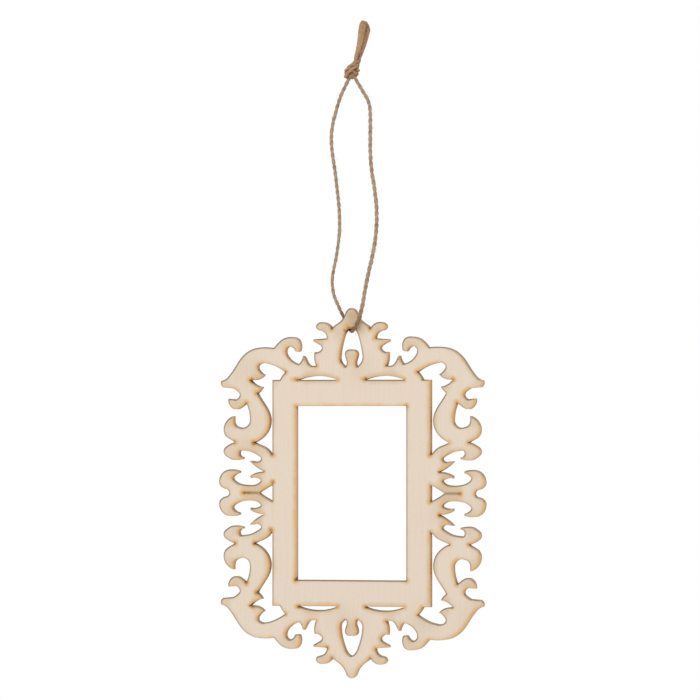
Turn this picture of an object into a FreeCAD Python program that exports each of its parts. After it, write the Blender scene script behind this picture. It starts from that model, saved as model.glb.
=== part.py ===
import FreeCAD, Part
import math
import os
import Sketcher

# Small picture frame for hanging: one flat plywood panel, cut right through in scrolled
# fretwork round a plain rail with a rectangular opening, on a loop of jute twine.
# Millimetres. The origin is the middle of the panel and of its thickness, +Z is up,
# and the front of the panel faces -Y.

doc = FreeCAD.newDocument("hanging_frame")
vector = FreeCAD.Vector

# Driving sizes
sheet = doc.addObject("Spreadsheet::Sheet", "Sizes")
driving_sizes = [
    ("ply_thick", 3.0, "thickness of the plywood"),
    ("opening_wide", 38.9, "picture opening, width"),
    ("opening_tall", 58.7, "picture opening, height"),
    ("rail_side", 8.25, "width of the rail beside the opening"),
    ("rail_top", 8.9, "width of the rail above and below the opening"),
    ("crest_rise", 24.2, "crest's tip above the rail"),
    ("shoulder_inset", 9.3, "crest's outer foot, in from the rail's side"),
    ("curl_rise", 14.5, "top of the corner curl above the rail"),
    ("scroll_reach", 18.9, "scrolls, out from the rail's side"),
    ("corner_drop", 21.1, "neck between the corner and side scrolls, below the rail's top"),
    ("arch_gap", 1.3, "height of the slot under the crest's arch"),
    ("arch_tie", 9.5, "solid tie between the two slots"),
    ("arch_inset", 9.0, "outer end of the slot, in from the rail's side"),
    ("kerf", 0.15, "width of the saw slit at the waist of the side scroll"),
    ("hole_wide", 8.0, "widest part of the teardrop hole"),
    ("tip_bar", 7.0, "bar between the top hole and the crest's tip"),
    ("low_tip_bar", 7.6, "bar between the bottom hole and the lower tip"),
    ("twine_thick", 1.4, "diameter of the jute twine"),
    ("knot_wide", 5.4, "width of the knot"),
    ("knot_tall", 6.7, "height of the knot"),
    ("knot_seat", 4.6, "width of the knot where the twine enters and leaves it"),
    ("twine_seat", 0.4, "clearance between a strand's end and the knot"),
]
for row, (name, value, note) in enumerate(driving_sizes, start=1):
    sheet.set(f"A{row}", note)
    sheet.set(f"B{row}", str(value))
    sheet.setAlias(f"B{row}", name)
doc.recompute()


def size(name):
    """One driving size, read back from the sheet."""
    return float(sheet.get(name))


rail_half_wide = size("opening_wide") / 2 + size("rail_side")
rail_half_tall = size("opening_tall") / 2 + size("rail_top")

# The ornament, drawn as strokes in millimetres. Each stroke starts where the last one
# ended: two points are a straight edge, three an arc and more a smooth curve, and
# strokes meet in the cusps and notches of the fretwork.

lap = 0.5    # how far each ornament's foot laps into the rail

# Right half of the crest, from the middle of the rail's top edge
crest_notch = (6.7, 17.3)
crest_strokes = [
    [crest_notch, (7.9, 18.6), (9.4, 19.4), (11.5, 19.1), (12.3, 17.9),
     (11.6, 16.9), (10.0, 16.4), (8.9, 15.5), (8.5, 14.0)],                 # horn
    [(8.5, 14.0), (13.0, 13.7)],                                           # shelf
    [(13.0, 13.7), (13.2, 13.3), (13.0, 12.9)],
    [(13.0, 12.9), (11.2, 11.9), (10.2, 10.6), (10.6, 10.0), (12.8, 9.4)],   # bay
    [(12.8, 9.4), (12.9, 7.2), (12.3, 4.8)],                               # flank
    [(12.3, 4.8), (13.9, 4.7)],
    [(13.9, 4.7), (15.0, 5.1), (16.0, 6.6), (16.9, 8.1)],                  # thorn
    [(16.9, 8.1), (17.4, 6.5), (18.4, 5.3)],
]
crest_foot = crest_strokes[-1][-1]
crest_strokes += [
    [crest_foot, (20.6, 4.0)],
    [(20.6, 4.0), (20.6, -lap)],
    [(20.6, -lap), (0, -lap)],
    [(0, -lap), (0, 16.4)],
    [(0, 16.4), crest_notch],
]

# Right half of the upper tip, rounder, and of the lower tip, more pointed
tip_top = 24.2
upper_tip_strokes = [
    [crest_notch, (5.1, 18.7), (3.5, 19.9), (2.6, 20.9), (2.0, 22.3), (1.2, 23.6), (0, tip_top)],
    [(0, tip_top), (0, 14.9)],
    [(0, 14.9), crest_notch],
]
lower_tip_strokes = [
    [crest_notch, (4.6, 18.9), (2.9, 20.4), (2.0, 21.9), (1.0, 23.6), (0, tip_top)],
    [(0, tip_top), (0, 14.9)],
    [(0, 14.9), crest_notch],
]

# Right half of the teardrop hole with the knob that stands in it, from the same point
hole_end = 17.2
knob_strokes = [
    [(2.7, 4.9), (2.1, 4.4), (1.6, 5.0)],
    [(1.6, 5.0), (1.5, 6.4), (1.9, 7.7), (2.1, 8.8), (1.5, 9.8), (0, 10.2)],
    [(0, 10.2), (0, hole_end)],
]
upper_hole_strokes = [
    [(0, hole_end), (1.4, 16.9), (2.2, 15.9), (2.7, 14.6), (3.3, 12.4), (4.0, 8.5), (3.8, 6.3), (2.7, 4.9)],
] + knob_strokes
lower_hole_strokes = [
    [(0, hole_end), (1.5, 16.4), (2.4, 14.6), (3.3, 11.8), (4.0, 7.6), (3.9, 6.2), (2.7, 4.9)],
] + knob_strokes

# Corner scroll, from the rail's outer corner
corner_shoulder = (-9.3, 5.3)
corner_strokes = [
    [corner_shoulder, (-6.8, 6.3), (-5.0, 8.1), (-4.5, 10.1), (-5.4, 11.2),
     (-6.9, 11.0), (-7.8, 10.3)],                                          # curl, inside
    [(-7.8, 10.3), (-8.7, 9.5), (-9.6, 10.5)],
    [(-9.6, 10.5), (-9.6, 12.3), (-8.6, 14.0), (-6.0, 14.5), (-3.3, 13.6),
     (-1.5, 11.9), (-0.5, 10.8)],                                          # curl, outside
    [(-0.5, 10.8), (2.4, 11.1), (6.3, 10.6), (9.9, 8.7), (12.5, 5.5),
     (14.8, 2.1), (16.3, 0.5), (18.1, -0.3)],                              # back
    [(18.1, -0.3), (18.3, -1.3), (17.3, -2.6)],
    [(17.3, -2.6), (13.9, -2.9)],
    [(13.9, -2.9), (12.6, -3.7), (11.6, -5.0), (12.1, -6.1), (14.1, -6.5)],    # bay
    [(14.1, -6.5), (15.6, -6.4)],
    [(15.6, -6.4), (15.2, -8.6), (13.2, -10.0), (11.2, -9.2), (9.3, -7.7)],    # lobe
    [(9.3, -7.7), (8.4, -10.2), (8.0, -12.9), (8.4, -15.1), (9.7, -16.1),
     (11.9, -16.1), (13.6, -15.3), (14.0, -13.9), (14.0, -12.3)],          # hook, inside
    [(14.0, -12.3), (16.0, -13.7), (17.1, -15.6), (17.3, -17.4), (16.5, -19.2),
     (14.9, -20.3), (13.5, -21.2)],                                        # hook, outside
    [(13.5, -21.2), (6.5, -21.2)],
    [(6.5, -21.2), (4.3, -20.0), (2.2, -17.8), (1.1, -14.1), (1.6, -11.2),
     (3.1, -8.5), (5.6, -4.5)],                                            # belly
    [(5.6, -4.5), (4.7, -3.7), (3.8, -2.4)],                               # lower barb
    [(3.8, -2.4), (6.0, -1.7), (8.0, 0)],
    [(8.0, 0), (5.4, 0.2), (3.1, 1.8)],                                  # upper barb
    [(3.1, 1.8), (4.8, 3.0), (5.4, 4.7), (4.5, 5.5), (2.2, 5.6), (-1.0, 4.7), (-4.5, 2.6)],
    [(-4.5, 2.6), (-3.5, 1.4), (-2.4, -lap)],
    [(-2.4, -lap), (-10.6, -lap)],
    [(-10.6, -lap), (-10.6, 4.6)],
    [(-10.6, 4.6), corner_shoulder],
]

# Upper half of the side scroll, from the rail's side at mid-height
slit_side = size("kerf") / 2
side_strokes = [
    [(13.4, 17.1), (15.7, 16.2), (17.1, 14.9), (17.2, 13.3), (16.0, 12.1),
     (14.4, 11.2), (12.7, 11.1), (10.8, 11.4)],                            # roll
    [(10.8, 11.4), (10.6, 12.1)],
    [(10.6, 12.1), (12.1, 13.3), (11.8, 14.2), (10.4, 14.3), (7.5, 13.8), (5.1, 12.6),
     (4.0, 11.5), (4.7, 10.7), (6.4, 10.6), (8.1, 10.8)],                  # upper hollow
    [(8.1, 10.8), (6.1, 9.0), (3.1, 7.2)],                                 # upper barb
    [(3.1, 7.2), (5.7, 6.8), (7.8, 5.8)],                                  # lower barb
    [(7.8, 5.8), (7.8, 5.5), (7.7, 5.0)],
    [(7.7, 5.0), (5.0, 4.8), (4.1, 4.2), (4.9, 3.3), (7.8, 2.6), (10.7, 2.8), (13.3, 3.7),
     (14.4, 5.1), (13.6, 6.0), (12.1, 6.7)],                               # lower hollow
    [(12.1, 6.7), (11.9, 7.3)],
    [(11.9, 7.3), (14.5, 7.9), (17.2, 7.2), (18.6, 5.4), (18.9, 3.7), (18.5, 2.4),
     (17.0, 1.4), (15.5, 0.6), (15.3, 0)],                                 # heel
    [(15.3, 0), (10.5, 0)],
    [(10.5, 0), (10.5, slit_side)],
    [(10.5, slit_side), (4.9, slit_side)],                                 # slit
    [(4.9, slit_side), (2.7, 1.5), (-lap, 3.1)],
    [(-lap, 3.1), (-lap, 12.7)],
    [(-lap, 12.7), (0.9, 13.5), (2.2, 14.9), (4.3, 16.0), (6.7, 17.1)],    # brace
    [(6.7, 17.1), (13.4, 17.1)],
]


def farthest(strokes, axis):
    """The largest coordinate along one axis among a drawing's points."""
    return max(point[axis] for stroke in strokes for point in stroke)


def fitted(strokes, anchor, right, up, left=1.0, down=1.0):
    """Stretches a drawing by these factors each way from its anchor and puts it there."""
    def place(point):
        across = point[0] * (right if point[0] > 0 else left)
        rise = point[1] * (up if point[1] > 0 else down)
        return vector(anchor[0] + across, anchor[1] + rise, 0)
    return [[place(point) for point in stroke] for stroke in strokes]


arc_fit = 0.05    # how closely the arcs of a smooth stroke keep to its curve


def edges_through(points):
    """A straight edge, an arc, or a smooth curve as a chain of tangent arcs, by the number of points."""
    if len(points) == 2:
        return [Part.LineSegment(*points)]
    if len(points) == 3:
        return [Part.Arc(*points)]
    curve = Part.BSplineCurve()
    curve.interpolate(points)
    return curve.toBiArcs(arc_fit)


def new_body(label):
    body = doc.addObject("PartDesign::Body", label)
    body.Label = label
    return body


def new_sketch(body, name, role="XZ_Plane"):
    """An empty sketch on one of the body's own origin planes."""
    sketch = body.newObject("Sketcher::SketchObject", name)
    plane = [item for item in body.Origin.OriginFeatures if item.Role == role][0]
    sketch.AttachmentSupport = (plane, [""])
    sketch.MapMode = "FlatFace"
    return sketch


def drawn_sketch(body, name, strokes):
    """A sketch of fretwork strokes on the panel's middle plane."""
    sketch = new_sketch(body, name)
    for stroke in strokes:
        sketch.addGeometry(edges_through(stroke), False)
    return sketch


rough = 10.0    # side of a rectangle as first drawn, before the sheet sizes it


def corner_sketch(body, name, wide, tall):
    """A rectangle with one corner at the origin and its sides bound to the sheet."""
    sketch = new_sketch(body, name)
    corners = [vector(0, 0, 0), vector(rough, 0, 0), vector(rough, rough, 0), vector(0, rough, 0)]
    for first, second in zip(corners, corners[1:] + corners[:1]):
        sketch.addGeometry(Part.LineSegment(first, second), False)
    for line in range(4):
        sketch.addConstraint(Sketcher.Constraint("Coincident", line, 2, (line + 1) % 4, 1))
    for line in (0, 2):
        sketch.addConstraint(Sketcher.Constraint("Horizontal", line))
    for line in (1, 3):
        sketch.addConstraint(Sketcher.Constraint("Vertical", line))
    sketch.addConstraint(Sketcher.Constraint("Coincident", 0, 1, -1, 1))
    across = sketch.addConstraint(Sketcher.Constraint("DistanceX", 0, 1, 0, 2, rough))
    sketch.setExpression(f"Constraints[{across}]", wide)
    rise = sketch.addConstraint(Sketcher.Constraint("DistanceY", 1, 1, 1, 2, rough))
    sketch.setExpression(f"Constraints[{rise}]", tall)
    return sketch


def pad(body, name, sketch):
    """The panel's thickness of plywood under a sketch."""
    feature = body.newObject("PartDesign::Pad", name)
    feature.Profile = sketch
    feature.Refine = False
    feature.SideType = "Symmetric"
    feature.setExpression("Length", "Sizes.ply_thick")
    sketch.Visibility = False
    return feature


def cut_through(body, name, sketch):
    """A cut right through the panel."""
    feature = body.newObject("PartDesign::Pocket", name)
    feature.Profile = sketch
    feature.Refine = False
    feature.SideType = "Symmetric"
    feature.Type = "ThroughAll"
    sketch.Visibility = False
    return feature


def mirror_whole(body, name, role, merge):
    """Mirrors everything made so far across one of the body's origin planes."""
    feature = body.newObject("PartDesign::Mirrored", name)
    feature.TransformMode = "Whole shape"
    feature.Refine = merge
    plane = [item for item in body.Origin.OriginFeatures if item.Role == role][0]
    feature.MirrorPlane = (plane, [""])
    body.Tip = feature
    return feature


def make_panel():
    """One quarter is drawn, mirrored up and down, given its tips and holes, then mirrored across."""
    body = new_body("frame_panel")
    crest_wide = (rail_half_wide - size("shoulder_inset")) / crest_foot[0]
    crest_tall = size("crest_rise") / tip_top
    reach = size("scroll_reach") / farthest(side_strokes, 0)
    side_tall = (rail_half_tall - size("corner_drop")) / farthest(side_strokes, 1)
    curl_tall = size("curl_rise") / farthest(corner_strokes, 1)
    lowest = -min(point[1] for stroke in corner_strokes for point in stroke)
    drop = size("corner_drop") / lowest
    inset = size("shoulder_inset") / -corner_shoulder[0]
    crest_anchor = (0, rail_half_tall)
    corner_anchor = (rail_half_wide, rail_half_tall)

    rail = corner_sketch(body, "rail_outline",
                         "Sizes.opening_wide / 2 + Sizes.rail_side",
                         "Sizes.opening_tall / 2 + Sizes.rail_top")
    pad(body, "rail", rail)
    crest = fitted(crest_strokes, crest_anchor, crest_wide, crest_tall)
    pad(body, "crest", drawn_sketch(body, "crest_outline", crest))
    corner = fitted(corner_strokes, corner_anchor, reach, curl_tall, inset, drop)
    pad(body, "corner_scroll", drawn_sketch(body, "corner_outline", corner))
    side = fitted(side_strokes, (rail_half_wide, 0), reach, side_tall)
    pad(body, "side_scroll", drawn_sketch(body, "side_outline", side))
    opening = corner_sketch(body, "opening_outline", "Sizes.opening_wide / 2", "Sizes.opening_tall / 2")
    cut_through(body, "picture_opening", opening)

    slot_from = size("arch_tie") / 2
    slot_to = rail_half_wide - size("arch_inset")
    slot_ends = [vector(slot_from, rail_half_tall, 0), vector(slot_to, rail_half_tall, 0)]
    slot_top = vector((slot_from + slot_to) / 2, rail_half_tall + size("arch_gap"), 0)
    slot = [slot_ends, [slot_ends[1], slot_top, slot_ends[0]]]
    cut_through(body, "arch_slot", drawn_sketch(body, "slot_outline", slot))

    mirror_whole(body, "upper_and_lower", "XY_Plane", False)
    for name, tip, hole, bar, way in (
        ("upper", upper_tip_strokes, upper_hole_strokes, "tip_bar", 1),
        ("lower", lower_tip_strokes, lower_hole_strokes, "low_tip_bar", -1),
    ):
        anchor = (0, way * rail_half_tall)
        outline = fitted(tip, anchor, crest_wide, way * crest_tall)
        pad(body, f"{name}_tip", drawn_sketch(body, f"{name}_tip_outline", outline))
        hole_wide = size("hole_wide") / 2 / farthest(upper_hole_strokes, 0)
        hole_tall = (size("crest_rise") - size(bar)) / hole_end
        outline = fitted(hole, anchor, hole_wide, way * hole_tall)
        cut_through(body, f"{name}_hole", drawn_sketch(body, f"{name}_hole_outline", outline))
    mirror_whole(body, "left_and_right", "YZ_Plane", True)
    return body


# The twine lies as it hangs in the picture: from the knot down behind the crest, through
# the upper hole under the tip's bar and up again in front of it to the knot.
loop_route = [
    (-1.5, 0.0, 139.3), (-3.4, 0.1, 135.8), (-5.5, 0.25, 130.2), (-8.0, 0.5, 120.6),
    (-6.0, 0.9, 107.2), (-4.4, 1.4, 91.4), (-5.9, 1.8, 80.4), (-8.4, 2.15, 69.6),
    (-4.8, 2.5, 60.4), (-0.6, 2.6, 54.2), (0.7, -2.6, 54.0), (3.7, -2.5, 59.6),
    (5.7, -2.1, 71.2), (9.0, -1.5, 85.6), (9.1, -1.1, 98.2), (6.5, -0.7, 111.6),
    (6.6, -0.4, 124.0), (6.4, -0.2, 131.6), (3.6, -0.05, 135.9), (1.5, 0.0, 139.3),
]
front_tail_route = [(1.1, -0.75, 146.8), (2.8, -0.8, 151.4), (3.8, -0.8, 159.1)]
back_tail_route = [(2.0, 0.75, 146.9), (4.0, 0.85, 151.4), (5.0, 0.8, 158.0)]

bend_share = 0.45    # share of the shorter run that a bend may take from it


def rounded_path(route, label):
    """Straight runs joined by tangent arcs, each as large as its two runs allow."""
    points = [vector(*point) for point in route]
    edges = []
    start = points[0]
    radii = []
    for before, corner, after in zip(points, points[1:], points[2:]):
        back = before - corner
        ahead = after - corner
        turn = math.pi - back.getAngle(ahead)
        cut = bend_share * min(back.Length, ahead.Length)
        radii.append(cut / math.tan(turn / 2))
        arc_start = corner + back.normalize() * cut
        arc_end = corner + ahead.normalize() * cut
        inward = (back + ahead).normalize()
        middle = corner + inward * (radii[-1] / math.cos(turn / 2) - radii[-1])
        edges.append(Part.LineSegment(start, arc_start).toShape())
        edges.append(Part.Arc(arc_start, middle, arc_end).toShape())
        start = arc_end
    edges.append(Part.LineSegment(start, points[-1]).toShape())
    print(label, "radii", [round(radius, 1) for radius in radii])
    return Part.Wire(edges)


def make_twine(label, route):
    """A plain round strand swept along its route."""
    path = doc.addObject("Part::Feature", f"{label}_path")
    path.Shape = rounded_path(route, label)
    path.Visibility = False
    section = doc.addObject("Part::Circle", f"{label}_section")
    section.setExpression("Radius", "Sizes.twine_thick / 2")
    heading = vector(*route[1]) - vector(*route[0])
    section.Placement = FreeCAD.Placement(vector(*route[0]), FreeCAD.Rotation(vector(0, 0, 1), heading))
    strand = doc.addObject("Part::Sweep", label)
    strand.Label = label
    strand.Sections = [section]
    strand.Spine = (path, [f"Edge{number}" for number in range(1, len(path.Shape.Edges) + 1)])
    strand.Solid = True
    strand.Frenet = False
    doc.recompute()
    length = path.Shape.Length
    expected = math.pi * (size("twine_thick") / 2) ** 2 * length
    print(label, "length", round(length, 1), "volume", round(strand.Shape.Volume, 2),
          "section times length", round(expected, 2))
    return strand


def make_knot():
    """The knot's outer shape: a barrel with a flat seat below and above."""
    body = new_body("twine_knot")
    sketch = new_sketch(body, "knot_profile")
    seat = size("knot_seat") / 2
    wide = size("knot_wide") / 2
    tall = size("knot_tall")
    base = vector(0, 0, 0)
    low = vector(seat, 0, 0)
    high = vector(seat, tall, 0)
    top = vector(0, tall, 0)
    for edge in (
        Part.LineSegment(base, low),
        Part.Arc(low, vector(wide, tall / 2, 0), high),
        Part.LineSegment(high, top),
        Part.LineSegment(top, base),
    ):
        sketch.addGeometry(edge, False)
    knot = body.newObject("PartDesign::Revolution", "knot")
    knot.Profile = sketch
    knot.ReferenceAxis = (sketch, ["V_Axis"])
    knot.Angle = 360
    sketch.Visibility = False
    body.Placement = FreeCAD.Placement(vector(0, 0, loop_route[0][2] + size("twine_seat")), FreeCAD.Rotation())
    return body


nodes = [
    make_panel(),
    make_twine("twine_loop", loop_route),
    make_knot(),
    make_twine("twine_tail_front", front_tail_route),
    make_twine("twine_tail_back", back_tail_route),
]
doc.recompute()

for item in doc.Objects:
    if "Invalid" in item.State or "Error" in item.State:
        raise SystemExit(f"{item.Name} failed: {item.State}")
for node in nodes:
    if node.Shape.isNull() or not node.Shape.isValid():
        raise SystemExit(f"{node.Label} has no valid shape")

os.makedirs("parts", exist_ok=True)
for node in nodes:
    node.Shape.exportStep(f"parts/{node.Label}.step")
    box = node.Shape.BoundBox
    print(node.Label, "solids", len(node.Shape.Solids), "volume", round(node.Shape.Volume, 1),
          "x", round(box.XMin, 2), round(box.XMax, 2), "y", round(box.YMin, 2), round(box.YMax, 2),
          "z", round(box.ZMin, 2), round(box.ZMax, 2))
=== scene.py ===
import math
import random

import bmesh
import bpy
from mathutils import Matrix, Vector, geometry
from mathutils.bvhtree import BVHTree
from mathutils.kdtree import KDTree


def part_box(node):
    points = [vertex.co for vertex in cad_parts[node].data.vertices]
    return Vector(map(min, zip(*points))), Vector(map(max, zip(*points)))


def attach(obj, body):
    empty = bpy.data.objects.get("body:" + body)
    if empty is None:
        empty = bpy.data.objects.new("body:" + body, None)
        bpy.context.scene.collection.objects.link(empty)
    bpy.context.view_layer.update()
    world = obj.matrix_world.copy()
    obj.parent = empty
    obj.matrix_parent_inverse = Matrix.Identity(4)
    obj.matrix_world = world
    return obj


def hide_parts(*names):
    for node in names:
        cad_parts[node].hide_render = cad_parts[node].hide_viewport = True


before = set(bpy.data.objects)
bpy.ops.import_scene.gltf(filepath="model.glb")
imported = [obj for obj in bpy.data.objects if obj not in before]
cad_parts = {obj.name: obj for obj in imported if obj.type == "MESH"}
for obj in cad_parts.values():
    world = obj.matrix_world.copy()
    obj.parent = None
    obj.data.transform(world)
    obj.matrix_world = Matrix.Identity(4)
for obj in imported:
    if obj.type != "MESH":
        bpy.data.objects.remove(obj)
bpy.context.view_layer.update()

# The looks of a laser cut plywood picture frame on a loop of jute twine, in metres.
# The panel stands on its own CAD outline, and the twine keeps close to the route of the CAD twine.

mm = 0.001
touching = 1e-6             # points closer than this, in metres, are one point


# Colour and shader helpers

# Turns a written sRGB colour into the linear one that Blender works with
def linear(hexCode):
    channels = [int(hexCode[i:i + 2], 16) / 255 for i in (1, 3, 5)]
    return [c / 12.92 if c <= 0.04045 else ((c + 0.055) / 1.055) ** 2.4 for c in channels] + [1]


# Adds one shader node with its settings. Its sockets are given in their order or by name, each with
# a link or a plain value, and what comes back is one of its outputs
def addNode(tree, kind, settings, sockets, output=0):
    node = tree.nodes.new("ShaderNode" + kind)
    for name, value in settings.items():
        setattr(node, name, value)
    for name, value in sockets.items() if isinstance(sockets, dict) else enumerate(sockets):
        if isinstance(value, bpy.types.NodeSocket):
            tree.links.new(value, node.inputs[name])
        else:
            node.inputs[name].default_value = value
    return node.outputs[output] if len(node.outputs) else None


# Settings that many nodes share
plus = {"operation": "ADD"}
times = {"operation": "MULTIPLY"}
larger = {"operation": "MAXIMUM"}
smoothly = {"interpolation_type": "SMOOTHSTEP"}


# Lays colours of a look over each other, each as strongly as the share beside its name
def layColours(tree, look, base, layers):
    colour = linear(look[base])
    for name, share in layers:
        sockets = {0: share, 6: colour, 7: linear(look[name])}
        colour = addNode(tree, "Mix", {"data_type": "RGBA"}, sockets, 2)
    return colour


# Noise whose grains measure cellSize along X, Y and Z on the object
def noisePattern(tree, cellSize, detail, roughness, offset=(0, 0, 0)):
    place = addNode(tree, "TexCoord", {}, {}, "Object")
    scale = [1 / size for size in cellSize]
    mapped = addNode(tree, "Mapping", {}, {"Vector": place, "Location": offset, "Scale": scale})
    sockets = {"Vector": mapped, "Scale": 1.0, "Detail": detail, "Roughness": roughness}
    return addNode(tree, "TexNoise", {}, sockets)


def newMaterial(name):
    material = bpy.data.materials.new(name)
    material.use_nodes = True
    tree = material.node_tree
    tree.nodes.clear()
    return material, tree


def finishMaterial(tree, sockets):
    shader = addNode(tree, "BsdfPrincipled", {}, sockets)
    addNode(tree, "OutputMaterial", {}, {"Surface": shader})


def newPiece(name, mesh, slotName, *nodes):
    piece = bpy.data.objects.new(name, mesh)
    bpy.context.scene.collection.objects.link(piece)
    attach(piece, "root")
    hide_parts(*nodes)
    return piece


# Plywood panel

# Here and in the twine's look, a step says where a pattern or mark starts and ends, and how strong
# it is at each
panelLook = {
    "face": "#E8D8C6",          # sanded birch face veneer
    "faceWarm": "#E4D0B8",      # warmer streaks of the grain
    "warmStep": (0.35, 0.75, 0.0, 0.55),
    "faceFleck": "#D2BA9E",     # short pores and flecks
    "fleckStep": (0.66, 0.78, 0.0, 0.35),
    "grainWide": 0.0007,        # one streak across the grain
    "grainLong": 0.0160,        # one streak along the grain
    "fleckWide": 0.00022,
    "fleckLong": 0.0024,
    "grainDeep": 0.01,          # every pattern of the face runs through the thin sheet unchanged
    "greyLine": "#64574B",         # grey line on cuts that face up or left
    "greyLineShare": 0.85,
    "greyLineLeft": 0.55,          # less of it on cuts that face left
    "toast": "#B98A58",         # brown line on every cut, under the grey line
    "toastShare": 0.25,
    "rimStep": (0.12, 0.68, 1.0, 0.0),      # reach of these lines into the face, in millimetres
    "heated": "#C39F66",        # yellowed wood where many cuts lie close together
    "heatReach": 4.0,           # how far one cut's heat goes, in millimetres
    "heatStep": (2.6, 8.0, 0.0, 0.45),      # by the millimetres of cut round about
    "halo": "#E4BA80",          # amber tint beside a cut and round a burnt spot
    "haloStep": (0.0, 1.7, 1.0, 0.0),       # in millimetres from the cut
    "patchWide": 0.005,         # the tint comes in patches of this size
    "patchStep": (0.32, 0.72, 0.05, 0.75),
    "leftOverUp": 3.0,          # a cut's facing left counts this many times its facing up
    "leeShare": -0.12,          # such cuts have less of the tint, and the others more
    "aboveStep": (0.1, 0.8, 1.0, 0.45),     # less of it again where the cut faces up
    "stain": "#B0925F",         # yellowed wood round the hanging hole
    "scorch": "#8E592C",        # burnt heart of a spot
    "raggedWide": 0.0006,       # grain of a burnt spot's uneven edge
    "raggedShare": 0.5,
    "burntHaloStep": (0.1, 0.5, 0.0, 0.85),
    "burntHeartStep": (0.4, 0.95, 0.0, 0.9),
    "spotReach": 1.3,           # radius of a burnt spot, in millimetres
    "spotLeast": 0.3,           # strengths of the spots that the corners get
    "spotMost": 0.85,
    "spotEnd": 3,               # next to nothing of a spot is left this many times its reach away
    "spotAngle": 112,           # gaps sharper than this hold the beam back and burn, in degrees
    "wallFront": "#F4D2A4",     # cut wall beside the front face
    "wallMiddle": "#EBBB83",
    "wallBack": "#A07B53",      # cut wall beside the back face
    "wallBackPower": 1.8,       # how late it turns to that colour
    "scoreWide": 0.00018,       # fine score lines of the beam through the wall
    "scoreLong": 0.004,
    "scoreStep": (0.45, 0.75, 0.0, 0.18),
    "wallGrey": "#A9957E",     # greyer wall where it faces up
    "wallGreyStep": (0.1, 0.6, 0.0, 0.85),
    "char": "#6E4829",          # wall inside a burnt spot
    "charStep": (0.2, 0.9, 0.0, 0.85),
    "gridStep": 0.62,           # spacing of the face's own vertices, in millimetres
    "gridJitter": 0.1,
    "gridClear": 0.55,          # they keep off the outline, by this share of their spacing
    "flatTouching": 1e-5,       # points closer than this, in millimetres, become one vertex
    "wallRows": 4,
    "sharpAngle": 32,           # edges sharper than this stay crisp, in degrees
    "slitHalf": 0.1,            # the slits at the waist lie this close to the middle, in millimetres
    "slitClose": 0.38,          # and show as a dark line, so their lips stand closer than in the CAD
    "slitGreyLine": 0.6,           # strength of the grey line on both lips
    "seed": 11,
}

# The marks that each vertex carries for the shaders, in the order in which markPoints gives them
markNames = ("rimDistance", "rimUp", "rimLeft", "scorch", "stain", "cutHeat")

# The spots that the picture shows burnt most: across, up and reach in millimetres, and strength
strongSpots = [
    (-18.7, 38.3, 0.9, 1.0), (-19.7, 38.4, 1.0, 0.75), (-20.9, 38.4, 1.0, 0.5), (-18.3, -38.4, 1.0, 1.0),
    (-19.3, -38.4, 1.0, 0.6), (5.2, 38.5, 1.0, 1.0), (4.0, 38.6, 1.0, 0.6), (5.4, -38.4, 1.0, 0.9),
    (4.5, -38.4, 1.0, 0.5), (-4.8, -38.4, 0.9, 0.6), (-37.6, 0.0, 1.0, 0.9), (-36.3, 0.1, 1.1, 0.75),
    (-34.3, 16.9, 1.3, 0.95), (-33.9, -17.1, 1.3, 0.85), (41.3, -17.0, 1.0, 0.7), (-35.0, 38.1, 1.4, 0.95),
    (31.2, 7.3, 1.1, 0.7), (31.2, -7.3, 1.2, 0.9), (-27.6, 3.7, 1.2, 0.85), (-28.3, -12.5, 1.3, 0.8),
    (-3.5, 44.6, 1.0, 0.7), (-19.3, -29.2, 1.1, 0.6), (24.9, -38.3, 1.0, 0.6), (-34.6, -38.3, 1.3, 0.9),
    (-1.9, 54.9, 1.2, 0.85), (-0.7, 55.5, 1.2, 1.0), (0.6, 55.5, 1.2, 1.0), (1.7, 54.9, 1.1, 0.8),
    (-1.2, 56.4, 1.4, 0.6), (-35.2, 0.0, 0.8, 0.75), (-34.1, 0.0, 0.8, 0.65), (-33.0, 0.0, 0.8, 0.6),
    (-31.9, 0.0, 0.7, 0.55),
]

# Yellowed wood where the smoke and the twine have been: across, up and reach in millimetres, and strength
stains = [
    (0.6, 59.6, 3.0, 0.6), (0.2, 56.5, 3.2, 0.6), (3.2, 55.6, 2.4, 0.4), (-4.0, 54.0, 2.6, 0.25),
    (-36.2, 41.5, 6.0, 0.13), (26.0, -42.5, 4.5, 0.2), (32.0, -6.5, 4.5, 0.15), (-2.4, -42.0, 5.0, 0.13),
    (-37.0, 15.5, 4.0, 0.2), (3.2, 41.5, 4.5, 0.13), (42.0, -43.0, 6.0, 0.12), (-37.5, 24.0, 4.5, 0.14),
]


# Front outline of the CAD panel: pieces of edge with the direction that faces out of the wood. Of
# the two faces at such an edge, the cut wall is the one that doesn't face the front
def readOutline(cad, front):
    pieces = []
    for edge in cad.edges:
        if len(edge.link_faces) != 2 or any(abs(vert.co.y - front) > touching for vert in edge.verts):
            continue
        walls = [face for face in edge.link_faces if abs(face.normal.y) < 0.5]
        if len(walls) == 1:
            normal = walls[0].normal
            ends = [Vector((vert.co.x, vert.co.z)) / mm for vert in edge.verts]
            pieces.append((ends[0], ends[1], Vector((normal.x, normal.z)).normalized()))
    return pieces


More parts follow.
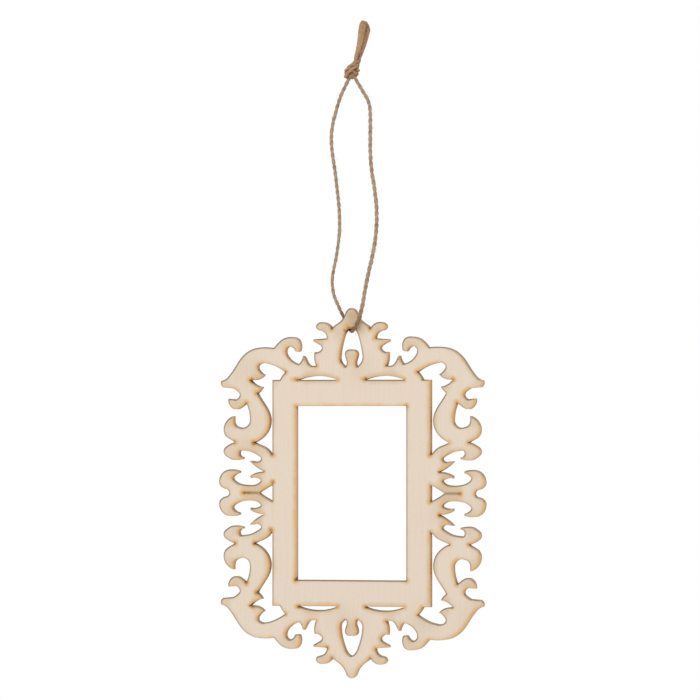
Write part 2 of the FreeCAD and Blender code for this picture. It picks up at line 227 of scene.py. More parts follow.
# Sharp inner ends of the gaps, where the beam slows down and burns the wood
def findSpots(outline, chance):
    corners = {}
    for start, end, normal in outline:
        for here, there in ((start, end), (end, start)):
            key = (round(here.x, 3), round(here.y, 3))
            corners.setdefault(key, []).append((there - here, normal))
    spots = []
    for place, arms in corners.items():
        if len(arms) != 2:
            continue
        (firstArm, firstOut), (secondArm, secondOut) = arms
        opening = math.degrees(firstArm.angle(secondArm))
        intoGap = (firstArm.normalized() + secondArm.normalized()).dot(firstOut + secondOut)
        if opening < panelLook["spotAngle"] and intoGap > 0:
            strength = chance.uniform(panelLook["spotLeast"], panelLook["spotMost"])
            spots.append((Vector(place), panelLook["spotReach"], strength))
    return spots + [(Vector((across, up)), reach, strength) for across, up, reach, strength in strongSpots]


# Search tree over points in the panel's plane
def planeTree(places):
    tree = KDTree(len(places))
    for number, place in enumerate(places):
        tree.insert((place.x, place.y, 0), number)
    tree.balance()
    return tree


# How much is left of something at a distance from its middle
def fade(away, reach):
    return math.exp(-(away / reach) ** 2)


# Points along the outline, a step apart or less, and the edges between them; the rims, which are
# places on it with the way they face; and the cuts, which are places on it with the length there
def traceOutline(outline, step):
    points = []
    numbers = {}
    edges = []
    rims = []
    cuts = []

    def numberOf(place):
        key = (round(place.x, 4), round(place.y, 4))
        if key not in numbers:
            numbers[key] = len(points)
            points.append(place)
        return numbers[key]

    for start, end, normal in outline:
        length = (end - start).length
        count = max(1, math.ceil(length / step))
        chain = [start.lerp(end, i / count) for i in range(count + 1)]
        middles = [start.lerp(end, (i + 0.5) / count) for i in range(count)]
        edges += [(numberOf(first), numberOf(second)) for first, second in zip(chain, chain[1:])]
        rims += [(place, normal) for place in middles + chain]
        cuts += [(place, length / count) for place in middles]
    return points, edges, rims, cuts


# Staggered grid of points over the wood, clear of the outline
def gridPoints(low, high, inWood, rimTree, chance):
    step = panelLook["gridStep"]
    jitter = panelLook["gridJitter"]
    clear = panelLook["gridClear"] * step
    rowHeight = step * math.sqrt(3) / 2
    places = []
    for row in range(int((high.z - low.z) / mm / rowHeight)):
        for column in range(int((high.x - low.x) / mm / step) + 1):
            across = low.x / mm + (column + 0.5 * (row % 2)) * step + chance.uniform(-jitter, jitter)
            up = low.z / mm + row * rowHeight + chance.uniform(-jitter, jitter)
            place = Vector((across, up))
            if inWood(place) and rimTree.find((place.x, place.y, 0))[2] > clear:
                places.append(place)
    return places


# Front and back faces, and the cut walls between them in a few rows. Beside the mesh, it gives the
# number of the flat point that each vertex came from
def buildSheet(flatPoints, faces, low, high):
    rows = panelLook["wallRows"]
    used = {i for face in faces for i in face}
    sides = {}
    for face in faces:
        for first, second in zip(face, list(face[1:]) + [face[0]]):
            side = frozenset((first, second))
            sides[side] = sides.get(side, 0) + 1
    rimEdges = [tuple(side) for side, count in sides.items() if count == 1]
    rimPoints = {i for side in rimEdges for i in side}

    bm = bmesh.new()
    sheets = []
    for row in range(rows + 1):
        depth = low.y + (high.y - low.y) * row / rows
        sheet = {}
        for i in used if row in (0, rows) else rimPoints:
            sheet[i] = bm.verts.new((flatPoints[i].x * mm, depth, flatPoints[i].y * mm))
        sheets.append(sheet)
    for face in faces:
        bm.faces.new([sheets[0][i] for i in face])
        bm.faces.new([sheets[rows][i] for i in reversed(face)])
    for first, second in rimEdges:
        for near, far in zip(sheets, sheets[1:]):
            wall = bm.faces.new([near[first], near[second], far[second], far[first]])
            wall.material_index = 1
            wall.smooth = True
    bmesh.ops.recalc_face_normals(bm, faces=bm.faces)
    mesh = bpy.data.meshes.new("frame_panel_wood")
    bm.to_mesh(mesh)
    bm.free()
    return mesh, [number for sheet in sheets for number in sheet]


# What the shaders read at each flat point: how far the nearest cut is and which way it faces, and
# how burnt, stained and heated the wood is there
def markPoints(flatPoints, numbers, rims, rimTree, cuts, spots):
    look = panelLook
    spotTree = planeTree([place for place, reach, strength in spots])
    cutTree = planeTree([place for place, length in cuts])
    farthest = look["spotEnd"] * max(reach for place, reach, strength in spots)
    marks = {}
    for number in numbers:
        here = Vector((flatPoints[number].x, flatPoints[number].y, 0))
        index, distance = rimTree.find(here)[1:]
        rim, facing = rims[index]
        upward = facing.y
        if abs(rim.y) < look["slitHalf"]:
            upward = look["slitGreyLine"] * abs(facing.y)
        burn = 0
        for _, index, away in spotTree.find_range(here, farthest):
            place, reach, strength = spots[index]
            burn = max(burn, strength * fade(away, reach))
        tint = 0
        for across, up, reach, strength in stains:
            away = math.hypot(here.x - across, here.y - up)
            tint = max(tint, strength * fade(away, reach))
        heat = 0
        for _, index, away in cutTree.find_range(here, look["heatReach"]):
            heat += cuts[index][1] * (1 - away / look["heatReach"])
        marks[number] = (distance, upward, -facing.x, burn, tint, heat)
    return marks


def buildPanel():
    low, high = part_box("frame_panel")
    chance = random.Random(panelLook["seed"])
    cad = bmesh.new()
    cad.from_mesh(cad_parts["frame_panel"].data)
    bmesh.ops.remove_doubles(cad, verts=cad.verts, dist=touching)
    solid = BVHTree.FromBMesh(cad)
    outline = readOutline(cad, low.y)
    cad.free()

    # A line of sight from in front meets the wood here
    def inWood(place):
        start = Vector((place.x * mm, low.y - 10 * mm, place.y * mm))
        return solid.ray_cast(start, Vector((0, 1, 0)))[0] is not None

    points, edges, rims, cuts = traceOutline(outline, panelLook["gridStep"])
    rimTree = planeTree([place for place, normal in rims])
    points += gridPoints(low, high, inWood, rimTree, chance)
    insideOnly = 1              # the triangulation's number for triangles inside the edges alone
    triangles = geometry.delaunay_2d_cdt(points, edges, [], insideOnly, panelLook["flatTouching"])
    flatPoints = triangles[0]
    faces = []
    for face in triangles[2]:
        centre = sum((flatPoints[i] for i in face), Vector((0, 0))) / len(face)
        if inWood(centre):
            faces.append(face)
    for place in flatPoints:
        if abs(place.y) < panelLook["slitHalf"]:
            place.y *= panelLook["slitClose"]

    mesh, order = buildSheet(flatPoints, faces, low, high)
    spots = findSpots(outline, chance)
    marks = markPoints(flatPoints, set(order), rims, rimTree, cuts, spots)
    for column, name in enumerate(markNames):
        values = [marks[number][column] for number in order]
        mesh.attributes.new(name, "FLOAT", "POINT").data.foreach_set("value", values)

    mesh.materials.append(birchFace())
    mesh.materials.append(laserCutWall())
    mesh.set_sharp_from_angle(angle=math.radians(panelLook["sharpAngle"]))
    newPiece("panel_wood", mesh, "plywood", "frame_panel")
    print("panel:", len(mesh.vertices), "vertices,", len(mesh.polygons), "faces,", len(spots), "spots")


# Sanded birch veneer: pale and dry, so it has fine upright streaks and almost no shine
def birchFace():
    look = panelLook
    material, tree = newMaterial("birch veneer, sanded and laser cut")
    marks = {name: addNode(tree, "Attribute", {"attribute_name": name}, {}, "Fac") for name in markNames}
    up = marks["rimUp"]
    left = marks["rimLeft"]
    deep = look["grainDeep"]
    streaks = noisePattern(tree, (look["grainWide"], deep, look["grainLong"]), 3.0, 0.6)
    warm = addNode(tree, "MapRange", smoothly, (streaks, *look["warmStep"]))
    flecks = noisePattern(tree, (look["fleckWide"], deep, look["fleckLong"]), 1.0, 0.5, (3, 0, 5))
    flecks = addNode(tree, "MapRange", smoothly, (flecks, *look["fleckStep"]))
    heat = addNode(tree, "MapRange", smoothly, (marks["cutHeat"], *look["heatStep"]))

    # Amber haze in patches, strongest beside the cuts that face down or right
    lee = addNode(tree, "Math", times, (left, look["leftOverUp"]))
    lee = addNode(tree, "Math", plus, (up, lee))
    lee = addNode(tree, "Math", times, (lee, look["leeShare"]))
    haze = noisePattern(tree, (look["patchWide"], deep, look["patchWide"]), 2.0, 0.5, (7, 0, 2))
    haze = addNode(tree, "MapRange", smoothly, (haze, *look["patchStep"]))
    haze = addNode(tree, "Math", {"operation": "ADD", "use_clamp": True}, (haze, lee))
    beside = addNode(tree, "MapRange", smoothly, (marks["rimDistance"], *look["haloStep"]))
    haze = addNode(tree, "Math", times, (beside, haze))
    above = addNode(tree, "MapRange", smoothly, (up, *look["aboveStep"]))
    haze = addNode(tree, "Math", times, (haze, above))

    # Burnt spots with an uneven edge
    ragged = noisePattern(tree, (look["raggedWide"], deep, look["raggedWide"]), 3.0, 0.6, (1, 0, 9))
    ragged = addNode(tree, "Math", {"operation": "SUBTRACT"}, (ragged, 0.5))
    ragged = addNode(tree, "Math", times, (ragged, look["raggedShare"]))
    burn = addNode(tree, "Math", plus, (marks["scorch"], ragged))
    burntHalo = addNode(tree, "MapRange", smoothly, (burn, *look["burntHaloStep"]))
    burntHeart = addNode(tree, "MapRange", smoothly, (burn, *look["burntHeartStep"]))

    # Thin line round every cut, grey where the cut faces up or left
    line = addNode(tree, "MapRange", smoothly, (marks["rimDistance"], *look["rimStep"]))
    toast = addNode(tree, "Math", times, (line, look["toastShare"]))
    facingUp = addNode(tree, "Math", larger, (up, 0.0))
    notRight = addNode(tree, "Math", {"operation": "MINIMUM"}, (left, 0.0))
    notRight = addNode(tree, "Math", plus, (notRight, 1.0))
    facingUp = addNode(tree, "Math", times, (facingUp, notRight))
    facingLeft = addNode(tree, "Math", larger, (left, 0.0))
    facingLeft = addNode(tree, "Math", times, (facingLeft, look["greyLineLeft"]))
    greyLine = addNode(tree, "Math", {"operation": "ADD", "use_clamp": True}, (facingUp, facingLeft))
    greyLine = addNode(tree, "Math", times, (line, greyLine))
    greyLine = addNode(tree, "Math", times, (greyLine, look["greyLineShare"]))

    colour = layColours(tree, look, "face", [
        ("faceWarm", warm), ("faceFleck", flecks), ("stain", marks["stain"]), ("heated", heat),
        ("halo", haze), ("halo", burntHalo), ("scorch", burntHeart), ("toast", toast), ("greyLine", greyLine),
    ])
    finishMaterial(tree, {"Base Color": colour, "Roughness": 0.72, "Specular IOR Level": 0.25})
    return material


# Wall left by the laser: amber at the front, browner towards the back and greyer where it faces up,
# with fine score lines
def laserCutWall():
    look = panelLook
    material, tree = newMaterial("plywood edge, toasted by the laser")
    low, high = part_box("frame_panel")
    middle = (low.y + high.y) / 2
    place = addNode(tree, "TexCoord", {}, {}, "Object")
    depth = addNode(tree, "SeparateXYZ", {}, {0: place}, "Y")
    front = addNode(tree, "MapRange", smoothly, (depth, low.y, middle, 0.0, 1.0))
    back = addNode(tree, "MapRange", smoothly, (depth, middle, high.y, 0.0, 1.0))
    back = addNode(tree, "Math", {"operation": "POWER"}, (back, look["wallBackPower"]))
    scores = noisePattern(tree, (look["scoreWide"], look["scoreLong"], look["scoreWide"]), 2.0, 0.6)
    scores = addNode(tree, "MapRange", smoothly, (scores, *look["scoreStep"]))
    up = addNode(tree, "Attribute", {"attribute_name": "rimUp"}, {}, "Fac")
    greyed = addNode(tree, "MapRange", smoothly, (up, *look["wallGreyStep"]))
    scorch = addNode(tree, "Attribute", {"attribute_name": "scorch"}, {}, "Fac")
    burnt = addNode(tree, "MapRange", smoothly, (scorch, *look["charStep"]))
    colour = layColours(tree, look, "wallFront", [
        ("wallMiddle", front), ("wallBack", back), ("wallBack", scores),
        ("wallGrey", greyed), ("char", burnt),
    ])
    finishMaterial(tree, {"Base Color": colour, "Roughness": 0.85, "Specular IOR Level": 0.15})
    return material


# Jute twine

twineLook = {
    "diameter": 1.4 * mm,
    "plyShare": 0.33,           # radius of one ply, of the twine's diameter
    "plyOffset": 0.155,         # ply centre off the twine's centre, of its diameter
    "twist": 4.2 * mm,          # length of one full twist
    "ringStep": 0.22 * mm,
    "sides": 9,
    "loose": 0.09,              # how far a ply swells and thins along its length
    "looseShift": 0.5,          # and how far that moves it outwards, of the swelling
    "looseRings": 6,            # from one swelling to the next
    "backThin": 0.88,           # thickness of the strand behind the crest, of its diameter
    "frontThick": 1.06,         # and of the strand in front
    "crossing": 4.0 * mm,       # depth over which one turns into the other
    "pinch": 0.96,              # where it is pulled tight round the bar
    "pinchReach": 2.5 * mm,
    "turnUp": 1.2 * mm,         # its middle there, above the lowest point of the CAD twine
    "jute": "#B89F84",
    "juteDark": "#846A50",
    "darkStep": (0.3, 0.55, 0.0, 1.0),
    "juteLight": "#D3C1A9",
    "lightStep": (0.55, 0.8, 0.0, 0.8),
    "fibreScale": (9.0, 0.35, 1.0),         # streaks round the ply and per millimetre along it
    "juteWorn": "#B5865C",      # browner, handled jute of the knot and the cut ends
    "knotFrom": 138.5 * mm,
    "knotFull": 3 * mm,         # full this far above that height
    "wornShare": 0.55,
    "juteCutLit": "#D6B08A",       # paler fibre where the ends come untwisted, and painted light that lifts the shade among the loose fibres
    "cutFrom": 147.0 * mm,
    "cutFull": 4 * mm,          # full this far above that height
    "cutLitShare": 0.6,
    "sootAndShade": "#70461C",          # soot from the burnt edge of the hole, and painted shade where the twine runs under the bar and behind the panel
    "sootShadeShare": 0.8,
    "sootShadeFull": 2.0 * mm,       # as high as this above the bar
    "sootShadeEnd": 10.5 * mm,       # and gone here
    "sootShadeInFront": (-2.5 * mm, 1.0 * mm, 0.62, 1.0),        # less of it on the strand in front, as the painted shade is deeper on the strand behind
    "knotSpread": 0.9,          # plies of the knot's turns lie this much closer
    "tailThick": 0.7,           # inside a frayed end the twine starts at this share of its thickness
    "tailGrow": 0.2,            # gains this much towards the cut
    "tailShort": 10,            # and ends this many rings before it
    "seed": 23,
}

# Height at which the twine passes under the bar
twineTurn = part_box("twine_loop")[0].z + twineLook["turnUp"]

# The CAD twine's route, in millimetres, with its ends run on into the knot and five points near the
# bar moved by 0.1 to 1.2 to follow the picture: down from the knot's left side, behind the crest,
# through the hole and up again in front to the knot's right side
loopRoute = [
    (-0.9, 0.2, 140.5), (-3.4, 0.1, 135.8), (-5.5, 0.25, 130.2), (-8.0, 0.5, 120.6),
    (-6.0, 0.9, 107.2), (-4.4, 1.4, 91.4), (-5.9, 1.8, 80.4), (-8.4, 2.15, 69.6),
    (-4.2, 2.5, 60.4), (-1.3, 2.8, 54.5), (1.4, -3.0, 54.9), (3.8, -2.5, 59.6),
    (5.6, -2.1, 71.2), (9.0, -1.5, 85.6), (9.1, -1.1, 98.2), (6.5, -0.7, 111.6),
    (6.6, -0.4, 124.0), (6.4, -0.2, 131.6), (3.6, -0.05, 135.9), (0.8, 0.1, 140.5),
]

# Both ends side by side through the overhand knot: up its core, over its right side, down and
# round it, in again from below and out at the top, each point with the way to the second end
knotRoute = [
    ((-0.1, 0.1, 140.2), (-0.9, 0.1, 0.0)),
    ((-0.2, 0.3, 141.0), (-0.8, 0.2, 0.0)),
    ((0.2, 0.6, 143.0), (-0.6, 0.4, 0.0)),
    ((1.2, 0.6, 145.3), (-0.4, 0.2, 0.5)),
    ((2.2, -0.3, 145.4), (0.1, 0.1, 0.7)),
    ((1.6, -1.8, 144.5), (0.0, 0.0, 0.7)),
    ((-0.4, -2.2, 143.2), (0.0, 0.0, 0.7)),
    ((-2.2, -1.0, 141.4), (0.0, 0.0, 0.7)),
    ((-2.0, 1.1, 141.1), (0.0, 0.0, 0.7)),
    ((0.1, 1.9, 141.1), (0.0, 0.0, 0.7)),
    ((1.9, 1.0, 142.3), (0.2, 0.0, 0.6)),
    ((1.7, -0.8, 142.4), (0.4, 0.2, 0.4)),
    ((0.8, -0.5, 142.9), (0.6, 0.5, 0.0)),
    ((1.6, -0.1, 145.0), (0.45, 0.7, 0.0)),
    ((2.1, 0.0, 147.3), (0.4, 0.75, 0.0)),
]

# Twine packed inside the knot, behind its turns, and how much fatter than the twine it is
knotHeart = [(-0.4, 0.2, 140.5), (0.0, 0.2, 142.3), (0.7, 0.2, 144.6)]
heartThick = 1.7

# The two ends above the knot, up to 0.4 further right than in the CAD, and longer because the
# tuft's own top cuts its fibres
frontTailRoute = [(1.4, -0.75, 146.6), (3.2, -0.8, 151.4), (4.2, -0.8, 159.9)]
backTailRoute = [(2.2, 0.75, 146.6), (4.3, 0.85, 151.4), (5.4, 0.8, 159.3)]


# Points along the smooth NURBS line that has these control points
def smoothLine(route):
    curve = bpy.data.curves.new("route", "CURVE")
    curve.dimensions = "3D"
    spline = curve.splines.new("NURBS")
    spline.points.add(len(route) - 1)
    for point, place in zip(spline.points, route):
        point.co = (place[0] * mm, place[1] * mm, place[2] * mm, 1)
    spline.order_u = 3
    spline.use_endpoint_u = True
    spline.resolution_u = 16
    holder = bpy.data.objects.new("route", curve)
    mesh = bpy.data.meshes.new_from_object(holder)
    line = [vert.co.copy() for vert in mesh.vertices]
    bpy.data.objects.remove(holder)
    bpy.data.curves.remove(curve)
    bpy.data.meshes.remove(mesh)
    return line


# The same line with its points evenly spaced
def evenly(line, step):
    lengths = [0.0]
    for first, second in zip(line, line[1:]):
        lengths.append(lengths[-1] + (second - first).length)
    count = max(2, round(lengths[-1] / step))
    places = []
    span = 0
    for number in range(count + 1):
        along = lengths[-1] * number / count
        while span < len(line) - 2 and lengths[span + 1] < along:
            span += 1
        share = (along - lengths[span]) / (lengths[span + 1] - lengths[span])
        places.append(line[span].lerp(line[span + 1], min(1, share)))
    return places


# Directions along a line and two across it, carried on without turning
def carryFrames(line):
    frames = []
    across = None
    for number, place in enumerate(line):
        ahead = line[min(number + 1, len(line) - 1)] - line[max(number - 1, 0)]
        ahead.normalize()
        if across is None:
            across = ahead.orthogonal()
        across = (across - ahead * across.dot(ahead)).normalized()
        frames.append((place, ahead, across, ahead.cross(across)))
    return frames


# A closed tube round a line, its radius given ring by ring, with a UV map: round it and, in
# millimetres, along it
def addTube(bm, line, radii, sides, uvLayer):
    rings = []
    for (place, _, across, up), radius in zip(carryFrames(line), radii):
        ring = []
        for i in range(sides):
            angle = math.tau * i / sides
            ring.append(bm.verts.new(place + (across * math.cos(angle) + up * math.sin(angle)) * radius))
        rings.append(ring)
    along = 0.0
    for number, (near, far) in enumerate(zip(rings, rings[1:])):
        step = (line[number + 1] - line[number]).length
        for i in range(sides):
            j = (i + 1) % sides
            face = bm.faces.new([near[i], near[j], far[j], far[i]])
            face.smooth = True
            corners = ((i, along), (i + 1, along), (i + 1, along + step), (i, along + step))
            for loop, (turn, height) in zip(face.loops, corners):
                loop[uvLayer].uv = (turn / sides, height / mm)
        along += step
    bm.faces.new(list(reversed(rings[0])))
    bm.faces.new(rings[-1])


# Two plies laid round a line as twine has them, its thickness given ring by ring
def addTwine(bm, line, uvLayer, chance, thick=None, phase=0.0, spread=1.0):
    look = twineLook
    thick = thick or [1.0] * len(line)
    frames = carryFrames(line)
    turn = math.tau * look["ringStep"] / look["twist"]
    rings = look["looseRings"]
    for ply in range(2):
        swell = [chance.uniform(-1, 1) for i in range(len(line) // rings + 2)]
        places = []
        radii = []
        for number, (place, _, across, up) in enumerate(frames):
            angle = phase + turn * number + math.pi * ply
            side = across * math.cos(angle) + up * math.sin(angle)
            share = number / rings
            loose = swell[int(share)] * (1 - share % 1) + swell[int(share) + 1] * (share % 1)
            offset = look["plyOffset"] * look["diameter"] * spread * thick[number]
            places.append(place + side * offset * (1 + look["looseShift"] * look["loose"] * loose))
            radii.append(look["plyShare"] * look["diameter"] * thick[number] * (1 + look["loose"] * loose))
        addTube(bm, places, radii, look["sides"], uvLayer)


# Thinner behind the crest than in front, and pulled tight where it passes under the bar
def strandThickness(place):
    look = twineLook
    front = min(1, max(0, 0.5 - place.y / look["crossing"]))
    base = look["backThin"] + (look["frontThick"] - look["backThin"]) * front
    return base + (look["pinch"] - base) * fade(place.z - twineTurn, look["pinchReach"])


hairLook = {
    "loopCount": 620,
    "knotCount": 60,            # on each end inside the knot
    "wide": 0.028 * mm,
    "shortest": 0.8,            # in millimetres
    "loopLongest": 3.4,
    "knotLongest": 2.0,
    "points": 6,
    "sides": 3,
    "root": 0.32,               # distance from the twine's middle, of its diameter
    "lift": 0.28,               # how far the tip leaves the twine, of the hair's length
    "curve": 1.6,               # how late it does
    "reach": 0.8,               # how far the tip lies along the twine
    "bend": 0.22,               # how far it bends aside
    "taper": 0.6,               # how much thinner the tip is
}


# Loose fibres that leave the twine at a slant and curl away from it
def addHairs(bm, line, count, uvLayer, chance, longest):
    look = hairLook
    frames = carryFrames(line)
    shares = [point / (look["points"] - 1) for point in range(look["points"])]
    for _ in range(count):
        place, ahead, across, up = frames[chance.randrange(len(frames))]
        angle = chance.uniform(0, math.tau)
        out = across * math.cos(angle) + up * math.sin(angle)
        way = ahead * chance.choice((-1, 1))
        bend = across * chance.uniform(-1, 1) + up * chance.uniform(-1, 1)
        length = chance.uniform(look["shortest"], longest) * mm
        hair = []
        for share in shares:
            lift = look["root"] * twineLook["diameter"] + length * look["lift"] * share ** look["curve"]
            along = way * length * share * look["reach"]
            hair.append(place + out * lift + along + bend * length * look["bend"] * share ** 2)
        radii = [look["wide"] * (1 - look["taper"] * share) for share in shares]
        addTube(bm, hair, radii, look["sides"], uvLayer)


# Dry jute: matt brown fibres along each ply, darker in the grooves between them
def juteFibre():
    look = twineLook
    material, tree = newMaterial("jute twine, dry spun fibre")
    uv = addNode(tree, "UVMap", {"uv_map": "along"}, {})
    mapped = addNode(tree, "Mapping", {}, {"Vector": uv, "Scale": look["fibreScale"]})
    sockets = {"Vector": mapped, "Scale": 1.0, "Detail": 3.0, "Roughness": 0.65}
    streak = addNode(tree, "TexNoise", {}, sockets)
    fibre = addNode(tree, "MapRange", smoothly, (streak, *look["darkStep"]))
    light = addNode(tree, "MapRange", smoothly, (streak, *look["lightStep"]))

    place = addNode(tree, "TexCoord", {}, {}, "Object")
    axes = addNode(tree, "SeparateXYZ", {}, {0: place}).node.outputs
    # Soot with painted shade: darker from just above the bar to some way up, more on the strand behind
    sootShadeRange = (twineTurn + look["sootShadeFull"], twineTurn + look["sootShadeEnd"])
    sootAndShade = addNode(tree, "MapRange", smoothly, (axes["Z"], *sootShadeRange, look["sootShadeShare"], 0.0))
    inFront = addNode(tree, "MapRange", smoothly, (axes["Y"], *look["sootShadeInFront"]))
    sootAndShade = addNode(tree, "Math", times, (sootAndShade, inFront))
    wornRange = (look["knotFrom"], look["knotFrom"] + look["knotFull"])
    worn = addNode(tree, "MapRange", smoothly, (axes["Z"], *wornRange, 0.0, look["wornShare"]))
    # Paler cut ends: the loose fibre's own colour, with painted light against the shade between the fibres
    cutRange = (look["cutFrom"], look["cutFrom"] + look["cutFull"])
    loosenedAndLit = addNode(tree, "MapRange", smoothly, (axes["Z"], *cutRange, 0.0, look["cutLitShare"]))

    colour = layColours(tree, look, "juteDark", [
        ("jute", fibre), ("juteLight", light), ("sootAndShade", sootAndShade), ("juteWorn", worn), ("juteCutLit", loosenedAndLit),
    ])
    bump = addNode(tree, "Bump", {}, {"Height": streak, "Strength": 0.5, "Distance": 0.1 * mm}, "Normal")
    finishMaterial(tree, {"Base Color": colour, "Roughness": 0.9, "Specular IOR Level": 0.1, "Normal": bump})
    return material


tuftLook = {
    "fibres": 360,
    "fibreWide": 0.075 * mm,
    "fibreSides": 4,
    "ringSkip": 3,              # a fibre has a point at every third ring of the line
    "taper": 0.5,               # how much thinner its tip is
    "flatness": 0.55,           # depth of the brush, of its width
    "spreadLow": 0.45 * mm,     # half the width of the brush at the knot
    "spreadHigh": 1.35 * mm,    # and near the cut end
    "spreadPower": 0.8,         # how early it opens
    "twist": 0.5,               # how far the brush turns on its way up, in radians
    "waveHigh": 0.1 * mm,       # single fibres waver by this much
    "waveTurn": 8,              # through this many radians
    "peak": 4.2 * mm,           # where the rounded cut end stands highest, across
    "top": 159.6 * mm,
    "bow": 780,                 # how fast the cut end falls away beside its peak
    "uneven": 1.1 * mm,         # how much shorter some fibres are cut
}


# The untwisted end of the twine: a flat brush of fibres that opens towards the cut
def addFray(bm, line, uvLayer, chance):
    look = tuftLook
    for _ in range(look["fibres"]):
        angle = chance.uniform(0, math.tau)
        share = math.sqrt(chance.random())
        wave = chance.uniform(0, math.tau)
        short = chance.random() ** 2 * look["uneven"]
        places = []
        under = 0
        for ring in range(0, len(line), look["ringSkip"]):
            along = ring / (len(line) - 1)
            opened = along ** look["spreadPower"]
            spread = look["spreadLow"] + (look["spreadHigh"] - look["spreadLow"]) * opened
            turned = angle + look["twist"] * along
            waver = look["waveHigh"] * math.sin(wave + look["waveTurn"] * along)
            across = math.cos(turned) * spread * share + waver
            depth = math.sin(turned) * spread * share * look["flatness"]
            place = line[ring] + Vector((across, depth, 0))
            over = place.z - look["top"] + short + look["bow"] * (place.x - look["peak"]) ** 2
            if over > 0:
                places.append(places[-1].lerp(place, under / (under + over)))
                break
            under = -over
            places.append(place)
        radii = [look["fibreWide"] * (1 - look["taper"] * i / len(places)) for i in range(len(places))]
        addTube(bm, places, radii, look["fibreSides"], uvLayer)


# An empty mesh, with the UV layer that the jute's streaks follow
def newTwineMesh():
    bm = bmesh.new()
    return bm, bm.loops.layers.uv.new("along")


def finishTwine(name, bm, material, *nodes):
    mesh = bpy.data.meshes.new(name)
    bmesh.ops.recalc_face_normals(bm, faces=bm.faces)
    bm.to_mesh(mesh)
    bm.free()
    mesh.materials.append(material)
    return newPiece(name, mesh, "jute", *nodes)


def buildTwine():
    look = twineLook
    chance = random.Random(look["seed"])
    jute = juteFibre()

    bm, uvLayer = newTwineMesh()
    loopLine = evenly(smoothLine(loopRoute), look["ringStep"])
    addTwine(bm, loopLine, uvLayer, chance, [strandThickness(place) for place in loopLine])
    loop = finishTwine("twine_loop_plies", bm, jute, "twine_loop")

    bm, uvLayer = newTwineMesh()
    addHairs(bm, loopLine, hairLook["loopCount"], uvLayer, chance, hairLook["loopLongest"])
    hairs = finishTwine("twine_loop_hairs", bm, jute)

    bm, uvLayer = newTwineMesh()
    for way in (-1, 1):
        route = [Vector(place) + Vector(side) * way for place, side in knotRoute]
        line = evenly(smoothLine(route), look["ringStep"])
        addTwine(bm, line, uvLayer, chance, phase=way, spread=look["knotSpread"])
        addHairs(bm, line, hairLook["knotCount"], uvLayer, chance, hairLook["knotLongest"])
    heart = evenly(smoothLine(knotHeart), look["ringStep"])
    addTwine(bm, heart, uvLayer, chance, [heartThick] * len(heart))
    knot = finishTwine("twine_knot_turns", bm, jute, "twine_knot")

    for name, node, route in (
        ("twine_tail_front_tuft", "twine_tail_front", frontTailRoute),
        ("twine_tail_back_tuft", "twine_tail_back", backTailRoute),
    ):
        bm, uvLayer = newTwineMesh()
        line = evenly(smoothLine(route), look["ringStep"])
        core = line[:-look["tailShort"]]
        thick = [look["tailThick"] + look["tailGrow"] * i / len(core) for i in range(len(core))]
        addTwine(bm, core, uvLayer, chance, thick)
        addFray(bm, line, uvLayer, chance)
        finishTwine(name, bm, jute, node)

    length = sum((second - first).length for first, second in zip(loopLine, loopLine[1:]))
    print("twine: loop", round(length, 4), "m")


# Studio

studioLook = {
    "azimuth": 16.5,            # the camera's way round the object, in degrees
    "elevation": -0.7,
    "lens": 300,
    "sensor": 36,
    "viewWide": 0.23625,        # width of the view at the panel
    "aimAcross": -0.00069,      # the view's centre from the panel's centre
    "aimUp": 0.0483,
    "floor": -0.12,
    "floorSize": 3.0,
    "paper": (0.85, 0.85, 0.85, 1),
    "white": (1, 1, 1, 1),
    "ambient": 0.78,
    "key": 10.0,
    "keyPlace": (-0.5, -1.6, 1.1),
    "keyAim": (0, 0, 0.04),
    "keySize": 1.1,
}


# One shader for what the camera sees, straight or through a mirror or glass, and one for all other light
def splitLight(tree, other, seen, outputKind):
    ray = addNode(tree, "LightPath", {}, {}).node.outputs
    share = addNode(tree, "Math", larger, (ray["Is Camera Ray"], ray["Is Glossy Ray"]))
    share = addNode(tree, "Math", larger, (share, ray["Is Transmission Ray"]))
    mixed = addNode(tree, "MixShader", {}, (share, other, seen))
    addNode(tree, outputKind, {}, {"Surface": mixed})


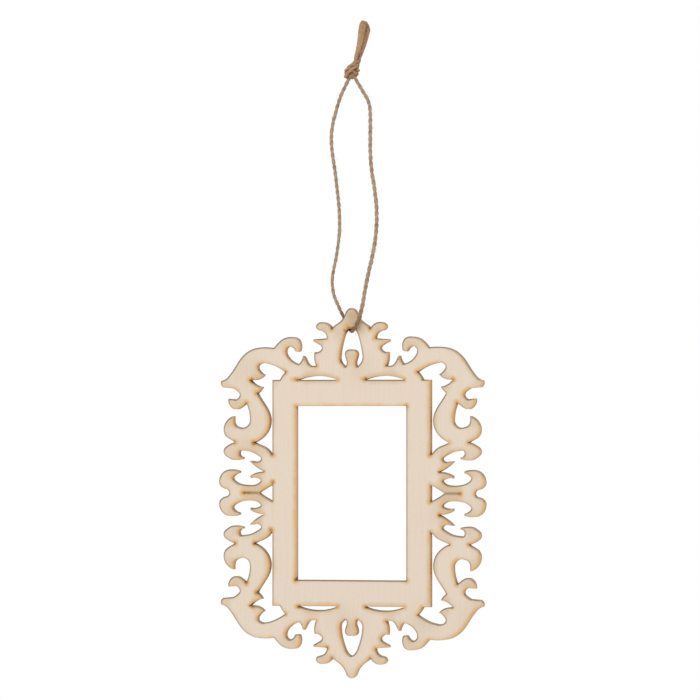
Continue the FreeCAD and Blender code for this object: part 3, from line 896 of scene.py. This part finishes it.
# White where the camera sees it, and a plain matt white to everything else
def studioWhite():
    material, tree = newMaterial("studio paper, evenly white")
    paper = addNode(tree, "BsdfDiffuse", {}, {"Color": studioLook["paper"]})
    white = addNode(tree, "Emission", {}, {"Color": studioLook["white"], "Strength": 1.0})
    splitLight(tree, paper, white, "OutputMaterial")
    return material


def buildStudio():
    look = studioLook
    scene = bpy.context.scene
    scene.view_settings.view_transform = "Standard"

    half = look["floorSize"] / 2
    corners = [(-half, -half, look["floor"]), (half, -half, look["floor"]),
               (half, half, look["floor"]), (-half, half, look["floor"])]
    mesh = bpy.data.meshes.new("floor")
    mesh.from_pydata(corners, [], [(0, 1, 2, 3)])
    mesh.materials.append(studioWhite())
    floor = bpy.data.objects.new("floor", mesh)
    scene.collection.objects.link(floor)

    world = bpy.data.worlds.new("studio light")
    scene.world = world
    world.use_nodes = True
    tree = world.node_tree
    tree.nodes.clear()
    soft = addNode(tree, "Background", {}, {"Color": look["white"], "Strength": look["ambient"]})
    white = addNode(tree, "Background", {}, {"Color": look["white"], "Strength": 1.0})
    splitLight(tree, soft, white, "OutputWorld")

    key = bpy.data.lights.new("key", "AREA")
    key.energy = look["key"]
    key.size = look["keySize"]
    lamp = bpy.data.objects.new("key", key)
    lamp.location = look["keyPlace"]
    lamp.rotation_euler = (Vector(look["keyAim"]) - lamp.location).to_track_quat("-Z", "Y").to_euler()
    scene.collection.objects.link(lamp)

    turn = math.radians(look["azimuth"])
    tilt = math.radians(look["elevation"])
    back = Vector((math.sin(turn) * math.cos(tilt), -math.cos(turn) * math.cos(tilt), math.sin(tilt)))
    right = Vector((math.cos(turn), math.sin(turn), 0))
    up = back.cross(right)
    low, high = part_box("frame_panel")
    aim = (low + high) / 2 + right * look["aimAcross"] + up * look["aimUp"]
    camera = bpy.data.cameras.new("camera")
    camera.lens = look["lens"]
    camera.sensor_width = look["sensor"]
    eye = bpy.data.objects.new("camera", camera)
    eye.location = aim + back * look["viewWide"] * look["lens"] / look["sensor"]
    eye.rotation_euler = (-back).to_track_quat("-Z", "Y").to_euler()
    scene.collection.objects.link(eye)
    scene.camera = eye
    print("studio: camera", [round(v, 3) for v in eye.location])


buildStudio()
buildPanel()
buildTwine()
